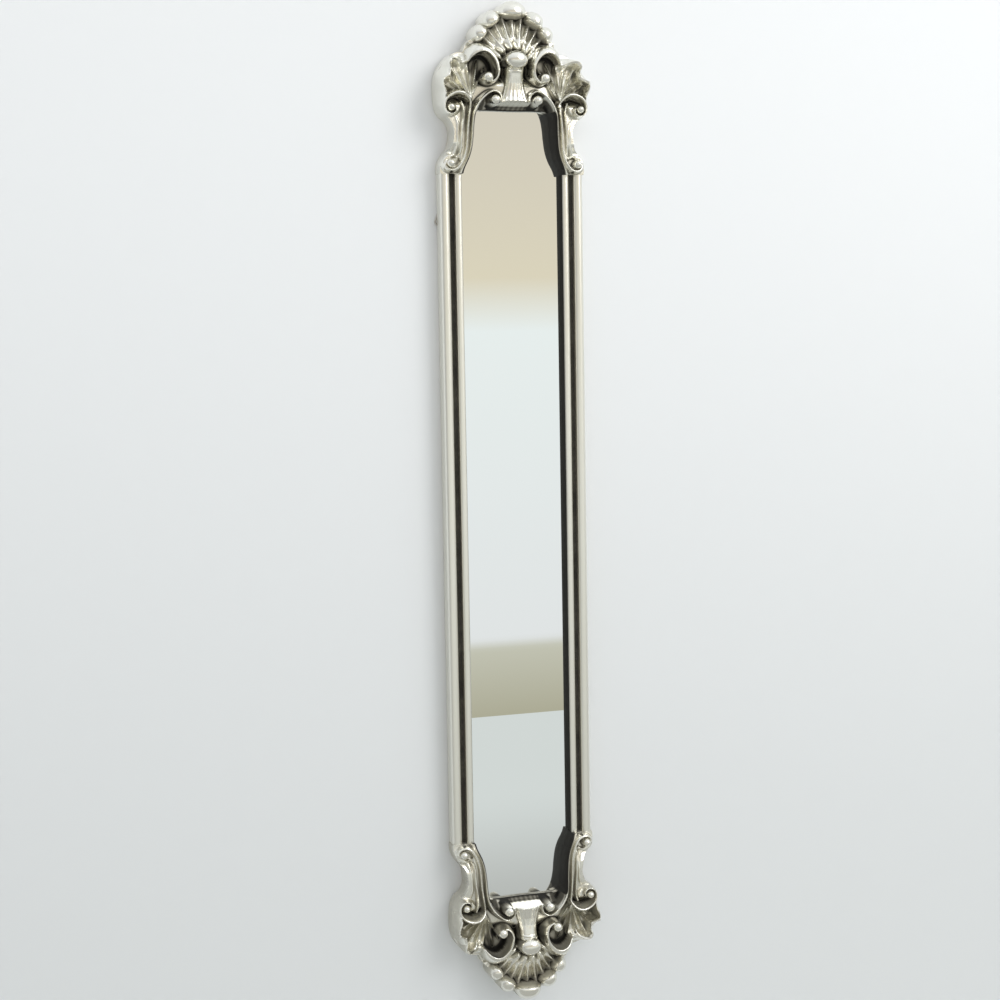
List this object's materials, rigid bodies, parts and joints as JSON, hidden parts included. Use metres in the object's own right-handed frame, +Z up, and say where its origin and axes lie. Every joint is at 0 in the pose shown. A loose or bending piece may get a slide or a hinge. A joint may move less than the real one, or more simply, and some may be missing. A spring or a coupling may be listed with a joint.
{
  "type": "narrow wall mirror",
  "caption": "Tall narrow wall mirror with moulded silver side rails, shell-and-scroll crests at both ends, a backing board held by turn buttons and hanging rings on the back.",
  "frame": {"origin": "on the wall plane, behind the middle of the glass", "axes": "+Z up along the rails, +Y into the wall, the glass faces -Y, +X to the viewer's right"},
  "size_m": [0.1846, 0.05, 1.2],
  "materials": {
    "silver_casting": "polished, dark patina in the hollows",
    "silver_moulding": "polished",
    "mirror_glass": "silvered pane",
    "board": "hard fibreboard",
    "plated_steel": "zinc plated",
    "ring_wire": "zinc plated wire",
    "button_steel": "stamped and plated",
    "screw_steel": "zinc plated",
    "dowel_steel": "bright drawn",
    "bumper_rubber": "matt"
  },
  "bodies": {
    "frame": {"top_crest": "silver_casting", "bottom_crest": "silver_casting", "left_rail": "silver_moulding", "right_rail": "silver_moulding", "mirror_glass": "mirror_glass", "backing_board": "board", "left_hanger_strap": "plated_steel", "right_hanger_strap": "plated_steel", "hanger_screws": "screw_steel", "turn_button_screws": "screw_steel", "wall_bumpers": "bumper_rubber", "frame_dowels": "dowel_steel"},
    "left_ring": {"left_hanger_ring": "ring_wire"},
    "right_ring": {"right_hanger_ring": "ring_wire"},
    "button_left_upper": {"turn_button_left_upper": "button_steel"},
    "button_left_middle": {"turn_button_left_middle": "button_steel"},
    "button_left_lower": {"turn_button_left_lower": "button_steel"},
    "button_right_upper": {"turn_button_right_upper": "button_steel"},
    "button_right_middle": {"turn_button_right_middle": "button_steel"},
    "button_right_lower": {"turn_button_right_lower": "button_steel"},
    "button_top": {"turn_button_top": "button_steel"},
    "button_bottom": {"turn_button_bottom": "button_steel"}
  },
  "joints": [
    {"name": "left_ring_swing", "type": "hinge", "parent": "frame", "child": "left_ring", "pos_m": [-0.07917, -0.00262, 0.342], "axis": [-1, 0, 0], "range_deg": [0, 180]},
    {"name": "right_ring_swing", "type": "hinge", "parent": "frame", "child": "right_ring", "pos_m": [0.07917, -0.00262, 0.342], "axis": [-1, 0, 0], "range_deg": [0, 180]},
    {"name": "button_left_upper_swivel", "type": "hinge", "parent": "frame", "child": "button_left_upper", "pos_m": [-0.0745, -0.0043, 0.23], "axis": [0, 1, 0], "continuous": true},
    {"name": "button_left_middle_swivel", "type": "hinge", "parent": "frame", "child": "button_left_middle", "pos_m": [-0.0745, -0.0043, 0], "axis": [0, 1, 0], "continuous": true},
    {"name": "button_left_lower_swivel", "type": "hinge", "parent": "frame", "child": "button_left_lower", "pos_m": [-0.0745, -0.0043, -0.23], "axis": [0, 1, 0], "continuous": true},
    {"name": "button_right_upper_swivel", "type": "hinge", "parent": "frame", "child": "button_right_upper", "pos_m": [0.0745, -0.0043, 0.23], "axis": [0, 1, 0], "continuous": true},
    {"name": "button_right_middle_swivel", "type": "hinge", "parent": "frame", "child": "button_right_middle", "pos_m": [0.0745, -0.0043, 0], "axis": [0, 1, 0], "continuous": true},
    {"name": "button_right_lower_swivel", "type": "hinge", "parent": "frame", "child": "button_right_lower", "pos_m": [0.0745, -0.0043, -0.23], "axis": [0, 1, 0], "continuous": true},
    {"name": "button_top_swivel", "type": "hinge", "parent": "frame", "child": "button_top", "pos_m": [0, -0.0043, 0.4865], "axis": [0, 1, 0], "continuous": true},
    {"name": "button_bottom_swivel", "type": "hinge", "parent": "frame", "child": "button_bottom", "pos_m": [0, -0.0043, -0.4865], "axis": [0, 1, 0], "continuous": true}
  ]
}
